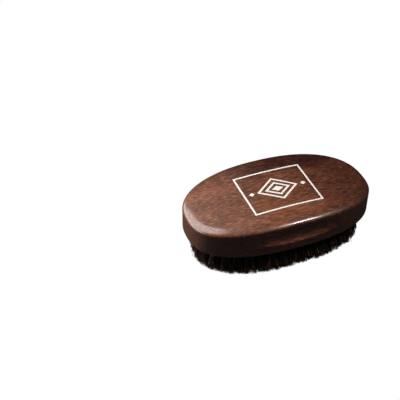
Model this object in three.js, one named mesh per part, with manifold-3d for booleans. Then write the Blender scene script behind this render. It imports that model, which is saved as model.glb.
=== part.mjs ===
// A palm-size beard brush: one oval hardwood block with a finger groove along each
// side and a back that curves down to both ends, and tufts of boar bristle set in rows
// of blind holes in its lower face.
//
// Millimetres, +Z up. The brush stands on its bristle tips at z = 0 with its back up,
// its long axis along X, and the origin under the middle of the block.

import * as THREE from "three";
import { mergeVertices } from "three/addons/utils/BufferGeometryUtils.js";
import Module from "manifold-3d";

// Overall sizes
const LENGTH = 120;
const WIDTH = 66;
const BLOCK_HEIGHT = 21; // at its middle
const BACK_DROP = 4.7; // from the middle of the back to where its curve passes the ends
const BRISTLE_LENGTH = 17; // from the wood to the trimmed tips
const OVAL_POWER = 2.5; // (x / a)^p + (y / b)^p = 1: an ellipse at 2, squarer above it

// Edges of the block
const BACK_EDGE_WIDTH = 5.5; // how far in from the outline the back starts to round over
const BACK_EDGE_DEPTH = 3; // how far the rounding comes down
const FACE_EDGE_BREAK = 0.5;

// Finger grooves: a round cutter run straight along X into each long side
const GROOVE_RADIUS = 8;
const GROOVE_DEPTH = 2.2; // at the middle of the block
const GROOVE_ABOVE_FACE = 11; // from the bristle face to the cutter's axis

// Tuft holes and the tufts in them
const HOLE_DIAMETER = 3.4;
const HOLE_DEPTH = 9;
const HOLE_CLEARANCE = 0.3; // between a tuft's root and its hole, all round and at the end
const TUFT_GAP = 0.3; // between neighbouring tufts at their tips
const EDGE_FLARE = 2.2; // how far the edge row's tips stand outside its holes

// Rows of tufts: an oval edge row, inner rows that follow it, and a short row in the middle
const SIDE_MARGIN = 8.2; // from the block's long side to the edge row's hole centres
const END_MARGIN = 10.4; // from the block's end to the edge row's hole centres
const EDGE_TUFTS = 36;
const INNER_ROWS = [
  { name: "second_row", tufts: 30 },
  { name: "third_row", tufts: 24 },
  { name: "fourth_row", tufts: 18 },
];
const MIDDLE_TUFTS = 7;
const RUNS_PER_ROW = 6; // an inner row's bristles mingle, so it is made as runs of tufts
const WEB_HEIGHT = 5; // of the mingled bristle that joins a run, above the tips
const WEB_SHARE = 0.6; // the web's length and thickness as a share of the tufts it joins

// Facets
const OUTLINE_SEGMENTS = 96;
const BACK_EDGE_SEGMENTS = 5;
const BACK_RINGS = 6; // from the middle of the back to its rounded edge
const GROOVE_SEGMENTS = 48;
const TUFT_SIDES = 8;
const CUT_OVERRUN = 1; // how far a cutter starts outside what it cuts

// Sizes that follow from the ones above
const HALF_LENGTH = LENGTH / 2;
const HALF_WIDTH = WIDTH / 2;
const FIELD_HALF_LENGTH = HALF_LENGTH - END_MARGIN;
const FIELD_HALF_WIDTH = HALF_WIDTH - SIDE_MARGIN;
const ROW_SPACING = FIELD_HALF_WIDTH / (INNER_ROWS.length + 1);
const BACK_RADIUS = (HALF_LENGTH ** 2 + BACK_DROP ** 2) / (2 * BACK_DROP);
const HOLE_RADIUS = HOLE_DIAMETER / 2;
const ROOT_RADIUS = HOLE_RADIUS - HOLE_CLEARANCE;
const ROOT_LENGTH = HOLE_DEPTH - HOLE_CLEARANCE;

const wasm = await Module();
wasm.setup();

const woodMaterial = new THREE.MeshStandardMaterial({ color: 0x6f4430, roughness: 0.38, metalness: 0 });
const bristleMaterial = new THREE.MeshStandardMaterial({ color: 0x241611, roughness: 0.65, metalness: 0 });

// A closed geometry as a solid that can be joined and cut
function solidOf(geometry) {
  const bare = geometry.clone();
  bare.deleteAttribute("normal");
  bare.deleteAttribute("uv");
  const merged = mergeVertices(bare);
  return new wasm.Manifold(
    new wasm.Mesh({
      numProp: 3,
      vertProperties: new Float32Array(merged.getAttribute("position").array),
      triVerts: new Uint32Array(merged.getIndex().array),
    }),
  );
}

function geometryOf(solid) {
  const mesh = solid.getMesh();
  const geometry = new THREE.BufferGeometry();
  geometry.setAttribute("position", new THREE.BufferAttribute(mesh.vertProperties, 3));
  geometry.setIndex(new THREE.BufferAttribute(mesh.triVerts, 1));
  geometry.computeVertexNormals();
  return geometry;
}

function namedMesh(name, geometry, material) {
  const mesh = new THREE.Mesh(geometry, material);
  mesh.name = name;
  return mesh;
}

// A cylinder standing on z = bottom
function uprightCylinder(radius, bottom, height, sides) {
  const geometry = new THREE.CylinderGeometry(radius, radius, height, sides);
  return geometry.rotateX(Math.PI / 2).translate(0, 0, bottom + height / 2);
}

// ---- Ovals and rows ---------------------------------------------------------------

// The oval all the outlines and rows share, anticlockwise from its +X end
class Oval extends THREE.Curve {
  constructor(halfLength, halfWidth) {
    super();
    this.halfLength = halfLength;
    this.halfWidth = halfWidth;
  }

  getPoint(u, target = new THREE.Vector3()) {
    const turn = 2 * Math.PI * u;
    const reach = (share) => Math.sign(share) * Math.abs(share) ** (2 / OVAL_POWER);
    const x = this.halfLength * reach(Math.cos(turn));
    const y = this.halfWidth * reach(Math.sin(turn));
    return target.set(x, y, 0);
  }
}

// A tuft's hole centre, the way it leans and how far its tips are from over its hole
function tuftAt(hole, outward, lean) {
  const angle = Math.atan2(outward.y, outward.x);
  const tip = hole.clone().addScaledVector(outward, lean);
  return { hole, angle, lean, tip };
}

function closedRow(index, count) {
  const inset = index * ROW_SPACING;
  const line = new Oval(FIELD_HALF_LENGTH - inset, FIELD_HALF_WIDTH - inset);
  const lean = EDGE_FLARE * (1 - index / (INNER_ROWS.length + 1));
  const holes = Array.from({ length: count }, (_, i) => line.getPointAt(i / count));
  return holes.map((hole, i) => {
    const next = holes[(i + 1) % count];
    const last = holes[(i + count - 1) % count];
    const along = next.clone().sub(last).normalize();
    return tuftAt(hole, new THREE.Vector3(along.y, -along.x, 0), lean);
  });
}

// The middle row keeps the pitch of the row round it
function middleRow(pitch) {
  const first = (-pitch * (MIDDLE_TUFTS - 1)) / 2;
  return Array.from({ length: MIDDLE_TUFTS }, (_, i) => {
    const hole = new THREE.Vector3(first + i * pitch, 0, 0);
    return tuftAt(hole, new THREE.Vector3(0, -1, 0), 0);
  });
}

function nearestTip(tuft, others) {
  return Math.min(...others.map((other) => other.tip.distanceTo(tuft.tip)));
}

// Each tuft's tips spread until only the gap is left to its neighbours
function spreadTips(rows) {
  for (const row of rows) {
    const elsewhere = rows.filter((other) => other !== row).flat();
    for (const tuft of row) {
      const beside = nearestTip(tuft, row.filter((other) => other !== tuft));
      const across = Math.min(ROW_SPACING, nearestTip(tuft, elsewhere));
      tuft.tipAlong = (beside - TUFT_GAP) / 2;
      tuft.tipAcross = (across - TUFT_GAP) / 2;
    }
  }
}

// ---- Tufts ------------------------------------------------------------------------
// Heights in this section and the next are from the bristle face, z = 0.

// The slant of a tuft and its hole: level sections stay level and slide outward going down
function slant(tuft) {
  return new THREE.Matrix4().makeShear(0, 0, 0, 0, -tuft.lean / BRISTLE_LENGTH, 0);
}

function placement(tuft) {
  const place = new THREE.Matrix4().makeTranslation(tuft.hole.x, tuft.hole.y, tuft.hole.z);
  return place.multiply(new THREE.Matrix4().makeRotationZ(tuft.angle));
}

// A tuft about its own hole, leaning along local X: a round root, then a flared brush
function tuftGeometry(tuft) {
  const sections = {
    1: { z: ROOT_LENGTH, x: ROOT_RADIUS, y: ROOT_RADIUS },
    0: { z: 0, x: ROOT_RADIUS, y: ROOT_RADIUS },
    "-1": { z: -BRISTLE_LENGTH, x: tuft.tipAcross, y: tuft.tipAlong },
  };
  const geometry = new THREE.CylinderGeometry(1, 1, 2, TUFT_SIDES, 2).rotateX(Math.PI / 2);
  const position = geometry.getAttribute("position");
  for (let i = 0; i < position.count; i += 1) {
    const section = sections[Math.round(position.getZ(i))];
    position.setXYZ(i, position.getX(i) * section.x, position.getY(i) * section.y, section.z);
  }
  return geometry.applyMatrix4(slant(tuft));
}

function edgeTuftMesh(tuft, index) {
  const number = String(index + 1).padStart(2, "0");
  const mesh = namedMesh(`edge_tuft_${number}`, geometryOf(solidOf(tuftGeometry(tuft))), bristleMaterial);
  mesh.position.copy(tuft.hole);
  mesh.rotation.z = tuft.angle;
  return mesh;
}

// The mingled bristle between two neighbouring tufts of a run
function webGeometry(tuft, next) {
  const between = next.tip.clone().sub(tuft.tip);
  const thickness = 2 * WEB_SHARE * Math.min(tuft.tipAcross, next.tipAcross);
  const middle = tuft.tip.clone().addScaledVector(between, 0.5);
  const web = new THREE.BoxGeometry(WEB_SHARE * between.length(), thickness, WEB_HEIGHT);
  web.rotateZ(Math.atan2(between.y, between.x));
  return web.translate(middle.x, middle.y, WEB_HEIGHT / 2 - BRISTLE_LENGTH);
}

function runMesh(name, tufts) {
  const solids = tufts.map((tuft) => solidOf(tuftGeometry(tuft).applyMatrix4(placement(tuft))));
  const webs = tufts.slice(1).map((tuft, i) => solidOf(webGeometry(tufts[i], tuft)));
  const joined = [...solids, ...webs].reduce((whole, piece) => whole.add(piece));
  return namedMesh(name, geometryOf(joined), bristleMaterial);
}

function innerRowMeshes(name, row) {
  const perRun = row.length / RUNS_PER_ROW;
  return Array.from({ length: RUNS_PER_ROW }, (_, i) => {
    return runMesh(`${name}_${i + 1}`, row.slice(i * perRun, (i + 1) * perRun));
  });
}

// ---- Block ------------------------------------------------------------------------

// How far the back's curve has come down, this far along from its middle
function backDrop(x) {
  return BACK_RADIUS - Math.sqrt(BACK_RADIUS ** 2 - x ** 2);
}

// Points round the block at one height, shrunk from its outline by the inset or the share
function ring({ height, inset = 0, share = 1, onBack = false }) {
  const oval = new Oval(share * (HALF_LENGTH - inset), share * (HALF_WIDTH - inset));
  return Array.from({ length: OUTLINE_SEGMENTS }, (_, i) => {
    const point = oval.getPoint(i / OUTLINE_SEGMENTS);
    return point.setZ(onBack ? height - backDrop(point.x) : height);
  });
}

// The broken edge of the bristle face, the wall, the rounded edge, then in over the back
function blockRings() {
  const face = [
    ring({ height: 0, inset: FACE_EDGE_BREAK }),
    ring({ height: FACE_EDGE_BREAK }),
  ];
  const edge = Array.from({ length: BACK_EDGE_SEGMENTS + 1 }, (_, i) => {
    const turn = (i / BACK_EDGE_SEGMENTS) * (Math.PI / 2);
    const inset = BACK_EDGE_WIDTH * (1 - Math.cos(turn));
    const height = BLOCK_HEIGHT - BACK_EDGE_DEPTH * (1 - Math.sin(turn));
    return ring({ height, inset, onBack: true });
  });
  const back = Array.from({ length: BACK_RINGS - 1 }, (_, i) => {
    const share = 1 - (i + 1) / BACK_RINGS;
    return ring({ height: BLOCK_HEIGHT, inset: BACK_EDGE_WIDTH, share, onBack: true });
  });
  return [...face, ...edge, ...back];
}

// A skin over rings of points, one above another, closed to a point at each end
function plainBlock() {
  const rings = blockRings();
  const points = [new THREE.Vector3(), ...rings.flat(), new THREE.Vector3(0, 0, BLOCK_HEIGHT)];
  const last = points.length - 1;
  const index = [];
  for (let i = 0; i < OUTLINE_SEGMENTS; i += 1) {
    const next = (i + 1) % OUTLINE_SEGMENTS;
    index.push(0, 1 + next, 1 + i);
    for (let base = 1; base + OUTLINE_SEGMENTS < last; base += OUTLINE_SEGMENTS) {
      const above = base + OUTLINE_SEGMENTS;
      index.push(base + i, base + next, above + next);
      index.push(base + i, above + next, above + i);
    }
    index.push(last, last - OUTLINE_SEGMENTS + i, last - OUTLINE_SEGMENTS + next);
  }
  const geometry = new THREE.BufferGeometry().setFromPoints(points);
  geometry.setIndex(index);
  return solidOf(geometry);
}

function grooveCutter(side) {
  const cutter = new THREE.CylinderGeometry(GROOVE_RADIUS, GROOVE_RADIUS, LENGTH, GROOVE_SEGMENTS);
  cutter.rotateZ(Math.PI / 2);
  const axisFromMiddle = HALF_WIDTH + GROOVE_RADIUS - GROOVE_DEPTH;
  return solidOf(cutter.translate(0, side * axisFromMiddle, GROOVE_ABOVE_FACE));
}

function holeCutter(tuft) {
  const hole = uprightCylinder(HOLE_RADIUS, -CUT_OVERRUN, HOLE_DEPTH + CUT_OVERRUN, TUFT_SIDES);
  return solidOf(hole.applyMatrix4(slant(tuft)).applyMatrix4(placement(tuft)));
}

function blockMesh(tufts) {
  const cutters = [grooveCutter(1), grooveCutter(-1), ...tufts.map(holeCutter)];
  const block = cutters.reduce((whole, cutter) => whole.subtract(cutter), plainBlock());
  return namedMesh("handle_block", geometryOf(block), woodMaterial);
}

// ---- The brush --------------------------------------------------------------------

const edgeRow = closedRow(0, EDGE_TUFTS);
const innerRows = INNER_ROWS.map(({ tufts }, i) => closedRow(i + 1, tufts));
const lastRow = innerRows[innerRows.length - 1];
const middle = middleRow(lastRow[0].hole.distanceTo(lastRow[1].hole));
const rows = [edgeRow, ...innerRows, middle];
spreadTips(rows);

const group = new THREE.Group();
group.position.z = BRISTLE_LENGTH;
group.add(blockMesh(rows.flat()));
group.add(...edgeRow.map(edgeTuftMesh));
innerRows.forEach((row, i) => group.add(...innerRowMeshes(INNER_ROWS[i].name, row)));
group.add(runMesh("middle_row", middle));

export default group;
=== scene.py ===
"""A palm-size beard brush: a lacquered walnut-brown block filled with boar bristle.

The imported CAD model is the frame. Over it go a finely meshed wooden block, every bristle as
a strand of its own, the wire anchors that hold them, and a mark printed on the back.
Metres, +Z up: the brush stands on its bristle tips, its long axis along X.
"""

import math

import bpy
import numpy as np
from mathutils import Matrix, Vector


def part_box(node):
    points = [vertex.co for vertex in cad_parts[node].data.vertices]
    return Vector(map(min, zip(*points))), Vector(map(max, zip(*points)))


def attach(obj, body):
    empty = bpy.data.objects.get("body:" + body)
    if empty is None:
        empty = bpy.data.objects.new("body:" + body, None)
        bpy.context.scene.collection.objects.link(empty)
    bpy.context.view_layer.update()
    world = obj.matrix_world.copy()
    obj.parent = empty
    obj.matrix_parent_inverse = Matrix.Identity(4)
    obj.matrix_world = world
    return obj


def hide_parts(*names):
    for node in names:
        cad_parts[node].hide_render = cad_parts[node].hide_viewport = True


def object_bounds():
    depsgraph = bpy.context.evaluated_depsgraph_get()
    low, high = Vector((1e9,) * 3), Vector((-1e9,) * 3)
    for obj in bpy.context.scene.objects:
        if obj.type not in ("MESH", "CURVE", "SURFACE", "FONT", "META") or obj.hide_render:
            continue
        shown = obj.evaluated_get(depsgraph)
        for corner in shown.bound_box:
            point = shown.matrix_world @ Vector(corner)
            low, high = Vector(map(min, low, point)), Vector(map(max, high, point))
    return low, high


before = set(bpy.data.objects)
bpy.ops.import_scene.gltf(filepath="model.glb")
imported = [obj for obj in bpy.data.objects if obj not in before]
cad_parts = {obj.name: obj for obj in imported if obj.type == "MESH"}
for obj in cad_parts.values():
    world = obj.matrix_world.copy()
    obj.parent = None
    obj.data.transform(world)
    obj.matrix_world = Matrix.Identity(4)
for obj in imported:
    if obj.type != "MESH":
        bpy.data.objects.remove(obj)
cad_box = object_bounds()

MM = 0.001
block_low, block_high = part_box("handle_block")
HALF_LENGTH = block_high.x
HALF_WIDTH = block_high.y
FACE_Z = block_low.z  # the bristle face
BACK_Z = block_high.z  # the middle of the back

# The block, as in the CAD model
OVAL_POWER = 2.5  # (x / a)^p + (y / b)^p = 1
BACK_DROP = 4.7 * MM
BACK_RADIUS = (HALF_LENGTH**2 + BACK_DROP**2) / (2 * BACK_DROP)
BACK_EDGE_WIDTH = 5.5 * MM
BACK_EDGE_DEPTH = 3 * MM
FACE_EDGE_BREAK = 0.5 * MM
GROOVE_RADIUS = 8 * MM
GROOVE_DEPTH = 2.2 * MM
GROOVE_ABOVE_FACE = 11 * MM
GROOVE_EASE = 0.4 * MM  # how far the groove's edge is sanded round

# Tufts and holes, as in the CAD model
SIDE_MARGIN = 8.2 * MM
END_MARGIN = 10.4 * MM
EDGE_FLARE = 2.2 * MM
HOLE_RADIUS = 1.7 * MM
HOLE_DEPTH = 9 * MM
EDGE_TUFTS = 36
INNER_ROWS = (("second_row", 30), ("third_row", 24), ("fourth_row", 18))
MIDDLE_TUFTS = 7
RUNS_PER_ROW = 6
BRISTLE_LENGTH = FACE_Z - cad_box[0].z
FIELD_HALF_LENGTH = HALF_LENGTH - END_MARGIN
FIELD_HALF_WIDTH = HALF_WIDTH - SIDE_MARGIN
ROW_SPACING = FIELD_HALF_WIDTH / (len(INNER_ROWS) + 1)

random = np.random.default_rng(20)


# ---- Camera and studio ------------------------------------------------------------

VIEW_AZIMUTH = math.radians(-27.5)
VIEW_ELEVATION = math.radians(39.0)
VIEW_DISTANCE = 0.52  # from the camera to the middle of the back
PICTURE_SCALE = 0.004048  # of the picture's width, for each millimetre of the object there
PLACE_RIGHT = 0.1938  # where the middle of the back falls, from the picture's middle
PLACE_UP = 0.0296
AIM_STEPS = 6
SENSOR_WIDTH = 36  # of the camera, in millimetres as Blender has it

WHITE = (1, 1, 1)
LIGHT_COLOUR = (1.0, 0.97, 0.94)
ROOM_LIGHT = 0.018  # of the dim room, next to the lamps
LIGHTS_AIM = (0, 0, 0.02)
# name, place, size and power in watts
SOFTBOXES = (
    ("high_softbox", (-0.17, 0.10, 0.25), (0.28, 0.24), 0.92),
    ("left_strip", (-0.24, 0.13, 0.10), (0.38, 0.08), 0.50),
    ("back_softbox", (0.02, 0.52, 0.60), (0.35, 0.25), 0.08),
    ("near_softbox", (0.14, -0.17, 0.33), (0.07, 0.04), 0.68),
)

FLOOR_SIZE = 6
FLOOR_GAP = 0.05 * MM  # below the bristle tips
FLOOR_COLOUR = (0.02, 0.02, 0.02)  # as the light that bounces off it finds it
FLOOR_ROUGHNESS = 0.8
SHADE_REACH = 20 * MM
SHADE_RANGE = (0.15, 0.40)  # of open sky, from where the floor is dark to where it is pale


def make_camera():
    data = bpy.data.cameras.new("camera")
    camera = bpy.data.objects.new("camera", data)
    bpy.context.scene.collection.objects.link(camera)
    bpy.context.scene.camera = camera
    data.sensor_width = SENSOR_WIDTH
    focal_share = PICTURE_SCALE * VIEW_DISTANCE / MM
    data.lens = focal_share * SENSOR_WIDTH
    target = Vector((0, 0, BACK_Z))
    level = math.cos(VIEW_ELEVATION)
    back = Vector(
        (
            math.sin(VIEW_AZIMUTH) * level,
            -math.cos(VIEW_AZIMUTH) * level,
            math.sin(VIEW_ELEVATION),
        )
    )
    camera.location = target + back * VIEW_DISTANCE
    camera.rotation_mode = "QUATERNION"
    # Turn the camera, without rolling it, until the target falls at its place
    aim = target.copy()
    for _ in range(AIM_STEPS):
        turn = (aim - camera.location).to_track_quat("-Z", "Y")
        local = turn.inverted() @ (target - camera.location)
        too_far_right = local.x / -local.z - PLACE_RIGHT / focal_share
        too_far_up = local.y / -local.z - PLACE_UP / focal_share
        aim += turn @ Vector((too_far_right, too_far_up, 0)) * VIEW_DISTANCE
    camera.rotation_quaternion = (aim - camera.location).to_track_quat("-Z", "Y")


def area_light(name, place, aim, size, power):
    data = bpy.data.lights.new(name, "AREA")
    data.shape = "RECTANGLE"
    data.size, data.size_y = size
    data.energy = power
    data.color = LIGHT_COLOUR
    light = bpy.data.objects.new(name, data)
    light.location = place
    light.rotation_euler = (Vector(aim) - Vector(place)).to_track_quat("-Z", "Y").to_euler()
    light.visible_camera = False
    bpy.context.scene.collection.objects.link(light)


def seen_only_by_camera(tree, seen, otherwise):
    """The shader seen where a camera ray lands, and otherwise the other one"""
    path = tree.nodes.new("ShaderNodeLightPath")
    mix = tree.nodes.new("ShaderNodeMixShader")
    tree.links.new(path.outputs["Is Camera Ray"], mix.inputs[0])
    tree.links.new(otherwise, mix.inputs[1])
    tree.links.new(seen, mix.inputs[2])
    return mix.outputs[0]


def make_studio():
    scene = bpy.context.scene
    scene.view_settings.view_transform = "Standard"
    world = bpy.data.worlds.new("studio")
    world.use_nodes = True
    tree = world.node_tree
    backdrop = tree.nodes["Background"]
    backdrop.inputs["Color"].default_value = (*WHITE, 1)
    dim = tree.nodes.new("ShaderNodeBackground")
    dim.inputs["Color"].default_value = (*LIGHT_COLOUR, 1)
    dim.inputs["Strength"].default_value = ROOM_LIGHT
    world_light = seen_only_by_camera(tree, backdrop.outputs[0], dim.outputs[0])
    tree.links.new(world_light, tree.nodes["World Output"].inputs["Surface"])
    scene.world = world
    for name, place, size, power in SOFTBOXES:
        area_light(name, place, LIGHTS_AIM, size, power)


def floor_surface(tree):
    """Pale to the camera right up to the bristles, with a painted shadow under them, and dark to
    other rays
    """
    surface = tree.nodes["Principled BSDF"]
    surface.inputs["Base Color"].default_value = (*FLOOR_COLOUR, 1)
    surface.inputs["Roughness"].default_value = FLOOR_ROUGHNESS
    nearby = tree.nodes.new("ShaderNodeAmbientOcclusion")
    nearby.inputs["Distance"].default_value = SHADE_REACH
    open_share = tree.nodes.new("ShaderNodeMapRange")
    for name, limit in zip(("From Min", "From Max"), SHADE_RANGE):
        open_share.inputs[name].default_value = limit
    tree.links.new(nearby.outputs["AO"], open_share.inputs["Value"])
    pale = tree.nodes.new("ShaderNodeEmission")
    pale.inputs["Color"].default_value = (*WHITE, 1)
    tree.links.new(open_share.outputs["Result"], pale.inputs["Strength"])
    return seen_only_by_camera(tree, pale.outputs[0], surface.outputs[0])


def make_floor():
    bpy.ops.mesh.primitive_plane_add(size=FLOOR_SIZE, location=(0, 0, cad_box[0].z - FLOOR_GAP))
    floor = bpy.context.object
    floor.name = "floor"
    material = bpy.data.materials.new("floor")
    material.use_nodes = True
    tree = material.node_tree
    # From below, the floor is left open so that the bristles can be looked at
    below = tree.nodes.new("ShaderNodeNewGeometry")
    clear = tree.nodes.new("ShaderNodeBsdfTransparent")
    mix = tree.nodes.new("ShaderNodeMixShader")
    tree.links.new(below.outputs["Backfacing"], mix.inputs[0])
    tree.links.new(floor_surface(tree), mix.inputs[1])
    tree.links.new(clear.outputs[0], mix.inputs[2])
    tree.links.new(mix.outputs[0], tree.nodes["Material Output"].inputs["Surface"])
    floor.data.materials.append(material)


# ---- Node helpers -----------------------------------------------------------------


class Shader:
    """A material's nodes, with short names for the ones used most."""

    def __init__(self, name):
        self.material = bpy.data.materials.new(name)
        self.material.use_nodes = True
        self.tree = self.material.node_tree
        self.surface = self.tree.nodes["Principled BSDF"]

    def node(self, kind, inputs=None, **settings):
        made = self.tree.nodes.new(kind)
        for key, value in settings.items():
            setattr(made, key, value)
        for key, value in (inputs or {}).items():
            self.give(made.inputs[key], value)
        return made

    def give(self, socket, value):
        if isinstance(value, bpy.types.NodeSocket):
            self.tree.links.new(value, socket)
        else:
            socket.default_value = value

    def maths(self, operation, *values, clamp=False):
        made = self.node("ShaderNodeMath", operation=operation, use_clamp=clamp)
        for socket, value in zip(made.inputs, values):
            self.give(socket, value)
        return made.outputs[0]

    def fade(self, value, low, high, to_low=0.0, to_high=1.0):
        """value between low and high, smoothly, as a number between to_low and to_high"""
        inputs = {
            "Value": value,
            "From Min": low,
            "From Max": high,
            "To Min": to_low,
            "To Max": to_high,
        }
        made = self.node("ShaderNodeMapRange", inputs, interpolation_type="SMOOTHSTEP")
        return made.outputs["Result"]

    def mix(self, share, first, second, blend="MIX"):
        made = self.node("ShaderNodeMix", data_type="RGBA", blend_type=blend)
        self.give(made.inputs["Factor"], share)
        for socket, value in ((made.inputs[6], first), (made.inputs[7], second)):
            self.give(socket, value if isinstance(value, bpy.types.NodeSocket) else (*value, 1))
        return made.outputs[2]

    def ramp(self, value, stops):
        made = self.node("ShaderNodeValToRGB", {"Fac": value})
        elements = made.color_ramp.elements
        for place, colour in stops[1:-1]:
            elements.new(place).color = (*colour, 1)
        elements[0].position, elements[0].color = stops[0][0], (*stops[0][1], 1)
        elements[-1].position, elements[-1].color = stops[-1][0], (*stops[-1][1], 1)
        return made.outputs["Color"]

    def stretched(self, size_mm, turn=0.0):
        """Object coordinates in units of size_mm each way, the first of them turned from +X"""
        inputs = {
            "Vector": self.node("ShaderNodeTexCoord").outputs["Object"],
            "Rotation": (0, 0, turn),
            "Scale": tuple(size * MM for size in size_mm),
        }
        return self.node("ShaderNodeMapping", inputs, vector_type="TEXTURE").outputs[0]

    def noise(self, vector, scale=1.0, detail=3.0, roughness=0.5, distortion=0.0):
        inputs = {
            "Vector": vector,
            "Scale": scale,
            "Detail": detail,
            "Roughness": roughness,
            "Distortion": distortion,
        }
        return self.node("ShaderNodeTexNoise", inputs).outputs["Fac"]


# ---- Materials --------------------------------------------------------------------


GRAIN_TURN = math.radians(-2)  # between the board's grain and the block's long axis

# Sizes of the wood's markings in millimetres: along the grain, across it and down
FIGURE_SIZE = (80, 9, 9)
CLOUD_SIZE = (35, 22, 22)
FLECK_SIZE = (5.5, 0.75, 0.75)
GLINT_SIZE = (5.0, 0.60, 0.45)
FIBRE_SIZE = (5.5, 0.3, 0.3)
PORE_SIZE = (2, 0.2, 0.2)

FIGURE_COLOURS = (
    (0.28, (0.085, 0.023, 0.010)),
    (0.44, (0.150, 0.042, 0.020)),
    (0.58, (0.205, 0.061, 0.030)),
    (0.78, (0.270, 0.088, 0.046)),
)
CLOUD_COLOUR = (0.110, 0.028, 0.013)
FIBRE_COLOUR = (0.095, 0.026, 0.012)
FLECK_COLOUR = (0.060, 0.020, 0.009)
GLINT_COLOUR = (0.390, 0.155, 0.068)
PORE_COLOUR = (0.040, 0.011, 0.005)
SHADE_AND_FIGURE_TINT = (0.16, 0.06, 0.03)  # what is left of each colour where it is darkest, under the painted shade and the dark figure
SHADE_EDGE_WANDER = 12.0  # how far in millimetres the edge of the painted shade and dark figure strays
GRAIN_RELIEF = 0.05 * MM


def shade_and_figure_share(s, cloud, glints):
    """How dark the wood is painted: painted shade on the side wall, and towards the +X, +Y side of
    the back a darkening that is partly painted shade and partly the wood's own darker figure
    """
    place = s.node("ShaderNodeSeparateXYZ", {"Vector": s.stretched((1, 1, 1))})
    wander = s.fade(cloud, 0.2, 0.8, -SHADE_EDGE_WANDER, SHADE_EDGE_WANDER)
    far = s.maths("ADD", place.outputs["Y"], wander)
    right = s.maths("ADD", place.outputs["X"], wander)
    corner = s.maths("MULTIPLY", s.fade(far, -4.0, 20.0), s.fade(right, -36.0, 8.0))
    right_side = s.fade(right, -5.0, 40.0, 0.0, 0.70)
    back = s.maths("MAXIMUM", s.maths("MULTIPLY", corner, 0.95), right_side)
    # Painted shade on the side wall: the more upright the surface, the darker
    facing = s.node("ShaderNodeNewGeometry").outputs["True Normal"]
    upright = s.node("ShaderNodeSeparateXYZ", {"Vector": facing}).outputs["Z"]
    side = s.fade(s.maths("ABSOLUTE", upright), 0.15, 0.75, 0.96, 0.0)
    # The painted shade is thin at the -X end of the wall, where the light falls on it, and the
    # lightest fibres take less of the darkening
    side = s.maths("MULTIPLY", side, s.fade(place.outputs["X"], -60.0, -52.0, 0.4, 1.0))
    dark = s.maths("MAXIMUM", back, side)
    return s.maths("SUBTRACT", dark, s.fade(glints, 0.50, 0.64, 0.0, 0.10), clamp=True)


def wood_material():
    s = Shader("walnut_lacquered")

    def grain(size_mm, **settings):
        return s.noise(s.stretched(size_mm, GRAIN_TURN), **settings)

    # Streaks of colour along the board, then short flecks, then finer fibre and open pores
    figure = grain(FIGURE_SIZE, detail=4, distortion=0.6)
    cloud = grain(CLOUD_SIZE, detail=2)
    flecks = grain(FLECK_SIZE, detail=2, roughness=0.6)
    glints = grain(GLINT_SIZE, detail=1)
    fibre = grain(FIBRE_SIZE, detail=5, roughness=0.62)
    pores = s.fade(grain(PORE_SIZE, detail=1), 0.62, 0.72)
    tone = s.ramp(figure, FIGURE_COLOURS)
    tone = s.mix(s.fade(cloud, 0.35, 0.70, 0.0, 0.35), tone, CLOUD_COLOUR)
    tone = s.mix(s.fade(fibre, 0.35, 0.65, 0.0, 0.35), tone, FIBRE_COLOUR)
    tone = s.mix(s.fade(flecks, 0.45, 0.60, 0.0, 0.72), tone, FLECK_COLOUR)
    tone = s.mix(s.fade(glints, 0.50, 0.64, 0.0, 0.55), tone, GLINT_COLOUR)
    tone = s.mix(s.maths("MULTIPLY", pores, 0.55), tone, PORE_COLOUR)
    # Painted shade: the tone multiplied darker on the side wall and, partly for shade and partly
    # for the wood's figure, towards the +X, +Y side of the back
    shaded_tone = s.mix(1.0, tone, SHADE_AND_FIGURE_TINT, blend="MULTIPLY")
    tone = s.mix(shade_and_figure_share(s, cloud, glints), tone, shaded_tone)
    s.give(s.surface.inputs["Base Color"], tone)
    # A satin lacquer that dips a little into the grain
    rough = s.maths("ADD", s.fade(flecks, 0.3, 0.7, 0.38, 0.50), s.maths("MULTIPLY", pores, 0.12))
    s.give(s.surface.inputs["Roughness"], rough)
    s.surface.inputs["Coat Weight"].default_value = 0.9
    s.surface.inputs["Coat Roughness"].default_value = 0.20
    s.surface.inputs["Coat IOR"].default_value = 1.6
    height = s.maths("SUBTRACT", s.maths("MULTIPLY", fibre, 0.4), pores)
    height = s.maths("SUBTRACT", height, s.maths("MULTIPLY", flecks, 0.5))
    bump = s.node("ShaderNodeBump", {"Height": height, "Strength": 0.4, "Distance": GRAIN_RELIEF})
    s.give(s.surface.inputs["Normal"], bump.outputs["Normal"])
    return s.material


BRISTLE_COLOURS = (
    (0.0, (0.008, 0.005, 0.004)),
    (0.55, (0.016, 0.008, 0.005)),
    (0.82, (0.045, 0.019, 0.010)),
    (0.965, (0.110, 0.046, 0.022)),
    (0.985, (0.420, 0.280, 0.160)),
)
BRISTLE_TIP_COLOUR = (0.300, 0.120, 0.045)


def bristle_material():
    """Colour by each strand's own shade (across the map) and the way along it (up the map)."""
    s = Shader("boar_bristle")
    place = s.node("ShaderNodeUVMap", uv_map=STRAND_MAP).outputs["UV"]
    split = s.node("ShaderNodeSeparateXYZ", {"Vector": place})
    shade, along = split.outputs["X"], split.outputs["Y"]
    body = s.ramp(shade, BRISTLE_COLOURS)
    # Tips are lighter, each by a share of its own drawn from the same number
    other = s.maths("FRACT", s.maths("MULTIPLY", shade, 37.0))
    tip_share = s.maths("MULTIPLY", s.fade(along, 0.72, 1.0), s.fade(other, 0.3, 1.0, 0.05, 0.8))
    s.give(s.surface.inputs["Base Color"], s.mix(tip_share, body, BRISTLE_TIP_COLOUR))
    s.surface.inputs["Roughness"].default_value = 0.42
    s.surface.inputs["Specular IOR Level"].default_value = 0.55
    return s.material


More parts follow.
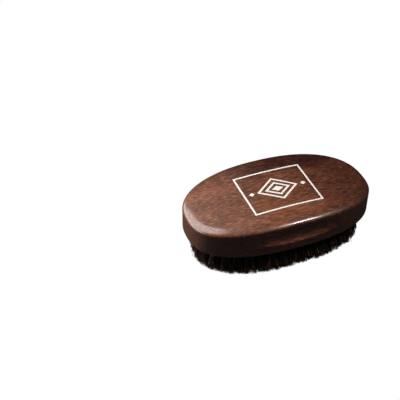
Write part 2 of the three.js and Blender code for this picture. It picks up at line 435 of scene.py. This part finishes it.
def anchor_material():
    s = Shader("anchor_wire")
    drawn = s.noise(s.stretched((1.25, 0.17, 0.17)), detail=2)
    s.give(s.surface.inputs["Base Color"], s.mix(drawn, (0.42, 0.41, 0.39), (0.60, 0.59, 0.57)))
    s.give(s.surface.inputs["Roughness"], s.fade(drawn, 0.3, 0.7, 0.28, 0.42))
    s.surface.inputs["Metallic"].default_value = 1.0
    return s.material


def ink_material():
    s = Shader("printed_ink")
    grain = s.noise(s.stretched((2.0, 0.25, 0.25)), detail=3, roughness=0.6)
    worn = s.fade(grain, 0.66, 0.78, 0.0, 0.35)
    s.give(s.surface.inputs["Base Color"], s.mix(worn, (0.86, 0.83, 0.79), (0.40, 0.27, 0.20)))
    s.surface.inputs["Roughness"].default_value = 0.5
    return s.material


# ---- Meshes -----------------------------------------------------------------------

LINE_STEPS = 8000  # for measuring along an oval
OUTLINE_COLUMNS = 720
WALL_ROWS = 64
BACK_EDGE_ROWS = 18
FACE_EDGE_ROWS = 4
CAP_RINGS = 15
CAP_SHARES = tuple(ring / (CAP_RINGS + 1) for ring in range(CAP_RINGS, 0, -1))


def mesh_piece(name, vertices, faces, material, smooth=True):
    mesh = bpy.data.meshes.new(name)
    mesh.from_pydata([tuple(v) for v in vertices], [], [tuple(f) for f in faces])
    mesh.validate()
    mesh.polygons.foreach_set("use_smooth", [smooth] * len(mesh.polygons))
    mesh.materials.append(material)
    piece = bpy.data.objects.new(name, mesh)
    bpy.context.scene.collection.objects.link(piece)
    return piece


def oval(turns, half_length, half_width):
    """Points of the oval that all the outlines and rows share, anticlockwise from +X"""
    ways = np.column_stack([np.cos(turns), np.sin(turns)])
    return np.sign(ways) * np.abs(ways) ** (2 / OVAL_POWER) * (half_length, half_width)


def even_turns(count, half_length, half_width):
    """Turns at which an oval's points are evenly spaced along it"""
    fine = np.linspace(0, 2 * math.pi, LINE_STEPS + 1)
    line = oval(fine, half_length, half_width)
    steps = np.linalg.norm(np.diff(line, axis=0), axis=1)
    travelled = np.concatenate([[0], np.cumsum(steps)])
    return np.interp(np.arange(count) / count * travelled[-1], travelled, fine)


def back_drop(x):
    return BACK_RADIUS - np.sqrt(BACK_RADIUS**2 - x**2)


def block_ring(turns, inset, height, on_back):
    """Points round the block; on_back is how far the height follows the back's curve, 0 to 1"""
    flat = oval(turns, HALF_LENGTH - inset, HALF_WIDTH - inset)
    level = height - on_back * back_drop(flat[:, 0])
    return np.column_stack([flat, level])


def block_profile():
    """(inset, height, on_back) from the bristle face's edge up the wall to the back's edge"""
    face_turns = np.linspace(0, math.pi / 2, FACE_EDGE_ROWS)
    back_turns = np.linspace(0, math.pi / 2, BACK_EDGE_ROWS)
    low, high = FACE_Z + FACE_EDGE_BREAK, BACK_Z - BACK_EDGE_DEPTH
    profile = []
    for turn in face_turns[:-1]:
        rise = FACE_EDGE_BREAK * (1 - math.cos(turn))
        profile.append((FACE_EDGE_BREAK * (1 - math.sin(turn)), FACE_Z + rise, 0))
    for share in np.linspace(0, 1, WALL_ROWS):
        profile.append((0, low + (high - low) * share, share))
    for turn in back_turns[1:]:
        inset = BACK_EDGE_WIDTH * (1 - math.cos(turn))
        profile.append((inset, high + BACK_EDGE_DEPTH * math.sin(turn), 1))
    return profile


def grooved(points):
    """points, pressed in where a round cutter run along X has cut the long sides"""
    axis_y = HALF_WIDTH + GROOVE_RADIUS - GROOVE_DEPTH
    beside = np.clip((points[:, 2] - FACE_Z - GROOVE_ABOVE_FACE) / GROOVE_RADIUS, -1, 1)
    floor = axis_y - GROOVE_RADIUS * np.sqrt(1 - beside**2)
    out = np.abs(points[:, 1])
    # The lesser of wall and groove, eased where they meet
    share = np.clip(0.5 + (floor - out) / (2 * GROOVE_EASE), 0, 1)
    eased = floor + (out - floor) * share - GROOVE_EASE * share * (1 - share)
    points[:, 1] = np.sign(points[:, 1]) * np.where(out > 0, eased, 0)
    return points


def block_mesh_data():
    turns = even_turns(OUTLINE_COLUMNS, HALF_LENGTH, HALF_WIDTH)
    walls = [grooved(block_ring(turns, *row)) for row in block_profile()]
    face_caps = [walls[0] * (share, share, 1) for share in reversed(CAP_SHARES)]
    back_caps = []
    for share in CAP_SHARES:
        flat = walls[-1][:, :2] * share
        back_caps.append(np.column_stack([flat, BACK_Z - back_drop(flat[:, 0])]))
    rings = face_caps + walls + back_caps
    vertices = np.vstack([*rings, [[0, 0, FACE_Z]], [[0, 0, BACK_Z]]])
    faces = []
    column = np.arange(OUTLINE_COLUMNS)
    following = np.roll(column, -1)
    for ring in range(len(rings) - 1):
        low, high = ring * OUTLINE_COLUMNS, (ring + 1) * OUTLINE_COLUMNS
        quads = (low + column, low + following, high + following, high + column)
        faces.extend(np.column_stack(quads).tolist())
    face_middle, back_middle = len(vertices) - 2, len(vertices) - 1
    last = (len(rings) - 1) * OUTLINE_COLUMNS
    for here, there in zip(column.tolist(), following.tolist()):
        faces.append((there, here, face_middle))
        faces.append((last + here, last + there, back_middle))
    return vertices, faces


# ---- Rows of tufts ----------------------------------------------------------------


def closed_row(index, count):
    """Tufts as (hole centre, outward direction, lean), in the CAD model's order"""
    lean = EDGE_FLARE * (1 - index / (len(INNER_ROWS) + 1))
    size = (FIELD_HALF_LENGTH - index * ROW_SPACING, FIELD_HALF_WIDTH - index * ROW_SPACING)
    holes = oval(even_turns(count, *size), *size)
    along = np.roll(holes, -1, axis=0) - np.roll(holes, 1, axis=0)
    along /= np.linalg.norm(along, axis=1)[:, None]
    outward = np.column_stack([along[:, 1], -along[:, 0]])
    return [(hole, out, lean) for hole, out in zip(holes, outward)]


def middle_row(pitch):
    first = -pitch * (MIDDLE_TUFTS - 1) / 2
    out = np.array([0.0, -1.0])
    return [(np.array([first + i * pitch, 0.0]), out, 0.0) for i in range(MIDDLE_TUFTS)]


def row_pitch(row):
    return float(np.linalg.norm(row[1][0] - row[0][0]))


# ---- Bristles ---------------------------------------------------------------------

STRAND_MAP = "OFBake"  # one column for each shade
PAIRS_PER_TUFT = 88  # each is one hair folded over the anchor, with two free ends
STRAND_RADIUS = 0.125 * MM
STRAND_SIDES = 3
MOSTLY_LEVEL = (1, 1, 0.02)
THICKNESS_RANGE = (0.8, 1.25)  # of the strands, in shares of STRAND_RADIUS
TIP_TAPER = 0.75  # thickness at the tips, in the same shares
FOLD_DEPTH = 8.0 * MM  # in the wood, where the hair turns over the anchor
FOLD_RISE = 0.45 * MM
FREE_STEPS = (0.3, 0.58, 0.82, 1.0)  # along the free length, from the wood to the tip
FLARE_POWER = 1.1
TIP_SPREAD = 1.30  # of half the room between tufts, so that neighbours mingle
STRAY_SHARE = 0.008  # hairs that stand out of their tuft
EDGE_CROWDING = 0.75  # below 1, tips crowd towards the rim of their tuft
LOCKS_PER_TUFT = 6
LOCK_PULL = 0.3  # how far a tip moves to its nearest lock
TIP_UNEVENNESS = 0.07  # in shares of half the room between tufts, as STRAY_SPREAD
STRAY_SPREAD = 0.45
TUFT_LIFT = 0.2 * MM  # how unevenly the tufts are trimmed
HAIR_LIFT = 0.1 * MM  # and the hairs within a tuft
SHORT_SHARE = 0.06  # hairs that broke off, by as much as SHORT_MOST
SHORT_MOST = 2.5 * MM
CURL = 0.2 * MM
CURL_WAVES = 1.3  # half waves along the free length
ROOT_CLEARANCE = 0.25 * MM


def half_strands(count, side, pitch, locks, tuft_lift):
    """Points of half hairs from the fold to the tip; the tips gather towards the locks.

    The axes are along the row, across it (outward) and up from the bristle face."""
    angle = random.uniform(0, math.pi, count)
    reach = np.sqrt(random.uniform(0, 1, count))
    root = np.column_stack([reach * np.cos(angle), side * reach * np.sin(angle)])
    stray = random.uniform(0, 1, count) < STRAY_SHARE
    spread = np.where(stray, STRAY_SPREAD, TIP_UNEVENNESS)[:, None]
    square = root / np.maximum(np.abs(np.cos(angle)), np.sin(angle))[:, None]
    square = np.sign(square) * np.abs(square) ** EDGE_CROWDING
    lock = locks[np.argmin(np.linalg.norm(square[:, None] - locks[None], axis=2), axis=1)]
    tip = square + (lock - square) * LOCK_PULL + random.normal(0, 1, (count, 2)) * spread
    half_room = np.array([pitch, ROW_SPACING]) / 2 * TIP_SPREAD
    lift = tuft_lift + np.abs(random.normal(0, HAIR_LIFT, count))
    short = random.uniform(0, 1, count) < SHORT_SHARE
    lift += np.where(short, random.uniform(0, SHORT_MOST, count), 0)
    curl_way = random.uniform(0, 2 * math.pi, count)
    curl = random.normal(0, CURL, count)[:, None]
    curl_xy = np.column_stack([np.cos(curl_way), np.sin(curl_way)]) * curl
    root_xy = root * (HOLE_RADIUS - ROOT_CLEARANCE)
    tip_xy = tip * half_room
    points = [np.column_stack([root_xy, np.full(count, FOLD_DEPTH)])]
    points.append(np.column_stack([root_xy, np.zeros(count)]))
    for step in FREE_STEPS:
        share = step**FLARE_POWER
        wave = math.sin(math.pi * step * CURL_WAVES)
        flat = root_xy + (tip_xy - root_xy) * share + curl_xy * wave
        points.append(np.column_stack([flat, -(BRISTLE_LENGTH - lift) * step]))
    return np.stack(points, axis=1)


def tuft_strands(tuft, pitch):
    """Folded hairs, each a row of points from tip to tip, in the brush's frame"""
    hole, out, lean = tuft
    locks = random.uniform(-1, 1, (LOCKS_PER_TUFT, 2))
    tuft_lift = abs(random.normal(0, TUFT_LIFT))
    near = half_strands(PAIRS_PER_TUFT, 1, pitch, locks, tuft_lift)
    far = half_strands(PAIRS_PER_TUFT, -1, pitch, locks, tuft_lift)
    fold = (near[:, :1] + far[:, :1]) / 2 + (0, 0, FOLD_RISE)
    strands = np.concatenate([near[:, ::-1], fold, far], axis=1)
    across = strands[..., 1] - lean * strands[..., 2] / BRISTLE_LENGTH
    beside = np.array([-out[1], out[0]])
    flat = hole + strands[..., :1] * beside + across[..., None] * out
    return np.concatenate([flat, strands[..., 2:] + FACE_Z], axis=-1)


def strand_tubes(lines):
    """Tubes round the lines, closed at both ends: vertices, faces, (shade, along) of each vertex"""
    count, steps = lines.shape[:2]
    ways = np.gradient(lines, axis=1)
    ways /= np.linalg.norm(ways, axis=2)[..., None]
    # Two directions across each strand, turned at random round it
    start = random.normal(0, 1, (count, 1, 3)) * MOSTLY_LEVEL
    first = start - (start * ways).sum(2)[..., None] * ways
    first /= np.linalg.norm(first, axis=2)[..., None]
    second = np.cross(ways, first)
    taper = np.ones(steps)
    taper[[0, -1]] = TIP_TAPER
    thick = STRAND_RADIUS * random.uniform(*THICKNESS_RANGE, (count, 1)) * taper
    rings = []
    for corner in range(STRAND_SIDES):
        angle = corner * 2 * math.pi / STRAND_SIDES
        offset = math.cos(angle) * first + math.sin(angle) * second
        rings.append(lines + offset * thick[..., None])
    vertices = np.stack(rings, axis=2)
    vertices[..., 2] = np.maximum(vertices[..., 2], cad_box[0].z)
    index = np.arange(count * steps * STRAND_SIDES).reshape(count, steps, STRAND_SIDES)
    turned = np.roll(index, -1, axis=2)
    quads = np.stack([index[:, :-1], turned[:, :-1], turned[:, 1:], index[:, 1:]], axis=-1)
    ends = np.concatenate([index[:, 0, ::-1], index[:, -1]])
    in_wood = [0] * (steps - 2 * len(FREE_STEPS))
    along = np.concatenate([FREE_STEPS[::-1], in_wood, FREE_STEPS])
    shade = random.uniform(0, 1, count)
    round_it = np.zeros((1, 1, STRAND_SIDES))
    grid = np.broadcast_arrays(shade[:, None, None], along[None, :, None], round_it)
    marks = np.stack(grid[:2], axis=-1).reshape(-1, 2)
    return vertices.reshape(-1, 3), quads.reshape(-1, 4).tolist() + ends.tolist(), marks


def bristle_piece(name, row, pitch, material):
    lines = np.concatenate([tuft_strands(tuft, pitch) for tuft in row])
    vertices, faces, marks = strand_tubes(lines)
    piece = mesh_piece(name, vertices, faces, material)
    mesh = piece.data
    corners = np.empty(len(mesh.loops), np.int32)
    mesh.loops.foreach_get("vertex_index", corners)
    mesh.uv_layers.new(name=STRAND_MAP)
    mesh.uv_layers[STRAND_MAP].data.foreach_set("uv", marks[corners].ravel())
    return piece


# ---- Holes and anchors ------------------------------------------------------------

HOLE_SIDES = 20
HOLE_OVERRUN = 1.0 * MM


def hole_cutter(tufts):
    """One mesh of all the hole cutters, each a slanted cylinder"""
    vertices, faces = [], []
    ring = np.arange(HOLE_SIDES)
    angles = ring * 2 * math.pi / HOLE_SIDES
    circle = HOLE_RADIUS * np.column_stack([np.cos(angles), np.sin(angles)])
    for hole, out, lean in tufts:
        base = len(vertices) * HOLE_SIDES
        for rise in (-HOLE_OVERRUN, HOLE_DEPTH):
            centre = hole - out * lean * rise / BRISTLE_LENGTH
            level = np.full(HOLE_SIDES, FACE_Z + rise)
            vertices.append(np.column_stack([circle + centre, level]))
        low, high = base + ring, base + HOLE_SIDES + ring
        quads = np.column_stack([low, np.roll(low, -1), np.roll(high, -1), high])
        faces += quads.tolist()
        faces += [low[::-1].tolist(), high.tolist()]
    return np.vstack(vertices), faces


ANCHOR_LENGTH = 3.2 * MM
ANCHOR_HEIGHT = 1.5 * MM
ANCHOR_THICKNESS = 0.28 * MM
ANCHOR_END_GAP = 0.35 * MM  # from the anchor's top to the bottom of the hole
ANCHOR_BEVEL = 0.06 * MM
BLOCK_CORNERS = ((0, 1, 2, 3), (7, 6, 5, 4), (4, 5, 1, 0), (5, 6, 2, 1), (6, 7, 3, 2), (7, 4, 0, 3))


def anchors_piece(name, row, material):
    """A flat length of wire across each hole, its long side along the row"""
    vertices, faces = [], []
    for hole, out, lean in row:
        beside = np.array([-out[1], out[0]])
        base = len(vertices)
        for rise in (HOLE_DEPTH - ANCHOR_END_GAP - ANCHOR_HEIGHT, HOLE_DEPTH - ANCHOR_END_GAP):
            centre = hole - out * lean * rise / BRISTLE_LENGTH
            for along, across in ((-1, -1), (1, -1), (1, 1), (-1, 1)):
                flat = centre + beside * along * ANCHOR_LENGTH / 2
                flat = flat + out * across * ANCHOR_THICKNESS / 2
                vertices.append((*flat, FACE_Z + rise))
        faces += [tuple(base + i for i in corners) for corners in BLOCK_CORNERS]
    piece = mesh_piece(name, vertices, faces, material, smooth=False)
    bevel = piece.modifiers.new("eased_edges", "BEVEL")
    bevel.width = ANCHOR_BEVEL
    bevel.segments = 2
    return piece


# ---- The printed mark -------------------------------------------------------------

INK_THICKNESS = 0.03 * MM
INK_SINK = 0.03 * MM
LEAST_MIDDLE = 0.002  # a filled lozenge still has a middle this share of its size
INK_STEP = 1.5 * MM  # the most a side of the mark runs before it is split to follow the back
FRAME_HALF_LENGTH = 22.5 * MM
FRAME_HALF_WIDTH = 18.3 * MM
FRAME_LINE = 1.1 * MM
LOZENGE_LINE = 1.5 * MM
LOZENGE_SIZES = ((13.5 * MM, 10.5 * MM), (8.5 * MM, 6.3 * MM), (3.8 * MM, 2.4 * MM))
SIDE_LOZENGE = (1.9 * MM, 1.5 * MM)
SIDE_LOZENGE_PLACE = 17.2 * MM  # from the middle of the mark


def split_sides(outer, inner):
    """Both outlines with their sides cut into as many short steps"""
    steps = np.linalg.norm(np.roll(outer, -1, axis=0) - outer, axis=1) / INK_STEP
    lines = []
    for line in (outer, inner):
        sides = zip(line, np.roll(line, -1, axis=0), np.ceil(steps).astype(int))
        lines.append(np.vstack([a + (b - a) * np.arange(n)[:, None] / n for a, b, n in sides]))
    return lines


def band(outer, inner):
    """A thin ring on the back between two outlines that have as many points"""
    lines = split_sides(np.array(outer), np.array(inner))
    count = len(lines[0])
    vertices = []
    for rise in (INK_THICKNESS, -INK_SINK):
        for line in lines:
            vertices.append(np.column_stack([line, BACK_Z - back_drop(line[:, 0]) + rise]))
    faces = []
    for i in range(count):
        j = (i + 1) % count
        faces.append((i, j, count + j, count + i))
        faces.append((3 * count + i, 3 * count + j, 2 * count + j, 2 * count + i))
        faces.append((2 * count + i, 2 * count + j, j, i))
        faces.append((count + i, count + j, 3 * count + j, 3 * count + i))
    return np.vstack(vertices), faces


def rectangle(half_length, half_width):
    return [(sx * half_length, sy * half_width) for sx, sy in ((1, 1), (-1, 1), (-1, -1), (1, -1))]


def lozenge(half_length, half_width, place=0.0):
    corners = ((half_length, 0), (0, half_width), (-half_length, 0), (0, -half_width))
    return [(place + x, y) for x, y in corners]


def lozenge_band(half_length, half_width, line, place=0.0):
    """A lozenge's outline, or the whole lozenge where the line is too wide to leave a middle"""
    shrink = max(LEAST_MIDDLE, 1 - line / half_width)
    inner = lozenge(half_length * shrink, half_width * shrink, place)
    return band(lozenge(half_length, half_width, place), inner)


def mark_data():
    frame_size = np.array([FRAME_HALF_LENGTH, FRAME_HALF_WIDTH])
    parts = [band(rectangle(*frame_size), rectangle(*(frame_size - FRAME_LINE)))]
    parts += [lozenge_band(*size, LOZENGE_LINE) for size in LOZENGE_SIZES[:-1]]
    parts.append(lozenge_band(*LOZENGE_SIZES[-1], LOZENGE_SIZES[-1][1]))
    for side in (-1, 1):
        parts.append(lozenge_band(*SIDE_LOZENGE, SIDE_LOZENGE[1], side * SIDE_LOZENGE_PLACE))
    vertices, faces = [], []
    for part_vertices, part_faces in parts:
        base = len(vertices)
        vertices += list(part_vertices)
        faces += [tuple(base + i for i in face) for face in part_faces]
    return vertices, faces


# ---- The brush --------------------------------------------------------------------


def make_block(tufts):
    block = mesh_piece("wooden_block", *block_mesh_data(), wood_material())
    cutter = mesh_piece("hole_cutter", *hole_cutter(tufts), wood_material())
    holes = block.modifiers.new("holes", "BOOLEAN")
    holes.solver = "MANIFOLD"
    holes.operation = "DIFFERENCE"
    holes.object = cutter
    bpy.context.view_layer.objects.active = block
    bpy.ops.object.modifier_apply(modifier=holes.name)
    bpy.data.objects.remove(cutter)
    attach(block, "root")
    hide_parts("handle_block")


def make_row(name, row, pitch, nodes, hair, wire):
    tufts = bristle_piece(f"{name}_bristles", row, pitch, hair)
    anchors = anchors_piece(f"{name}_anchors", row, wire)
    for piece in (tufts, anchors):
        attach(piece, "root")
    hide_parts(*nodes)


def make_brush():
    edge_row = closed_row(0, EDGE_TUFTS)
    inner_rows = [closed_row(i + 1, count) for i, (_, count) in enumerate(INNER_ROWS)]
    middle = middle_row(row_pitch(inner_rows[-1]))
    edge_nodes = [f"edge_tuft_{i + 1:02d}" for i in range(EDGE_TUFTS)]
    half = EDGE_TUFTS // 2
    rows = [
        ("far_edge_row", edge_row[:half], edge_nodes[:half]),
        ("near_edge_row", edge_row[half:], edge_nodes[half:]),
    ]
    for (name, _), row in zip(INNER_ROWS, inner_rows):
        rows.append((name, row, [f"{name}_{i + 1}" for i in range(RUNS_PER_ROW)]))
    rows.append(("middle_row", middle, ["middle_row"]))
    make_block([tuft for _, row, _ in rows for tuft in row])
    hair, wire = bristle_material(), anchor_material()
    for name, row, nodes in rows:
        make_row(name, row, row_pitch(row), nodes, hair, wire)
    mark = mesh_piece("printed_mark", *mark_data(), ink_material(), smooth=False)
    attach(mark, "root")


make_camera()
make_studio()
make_floor()
make_brush()
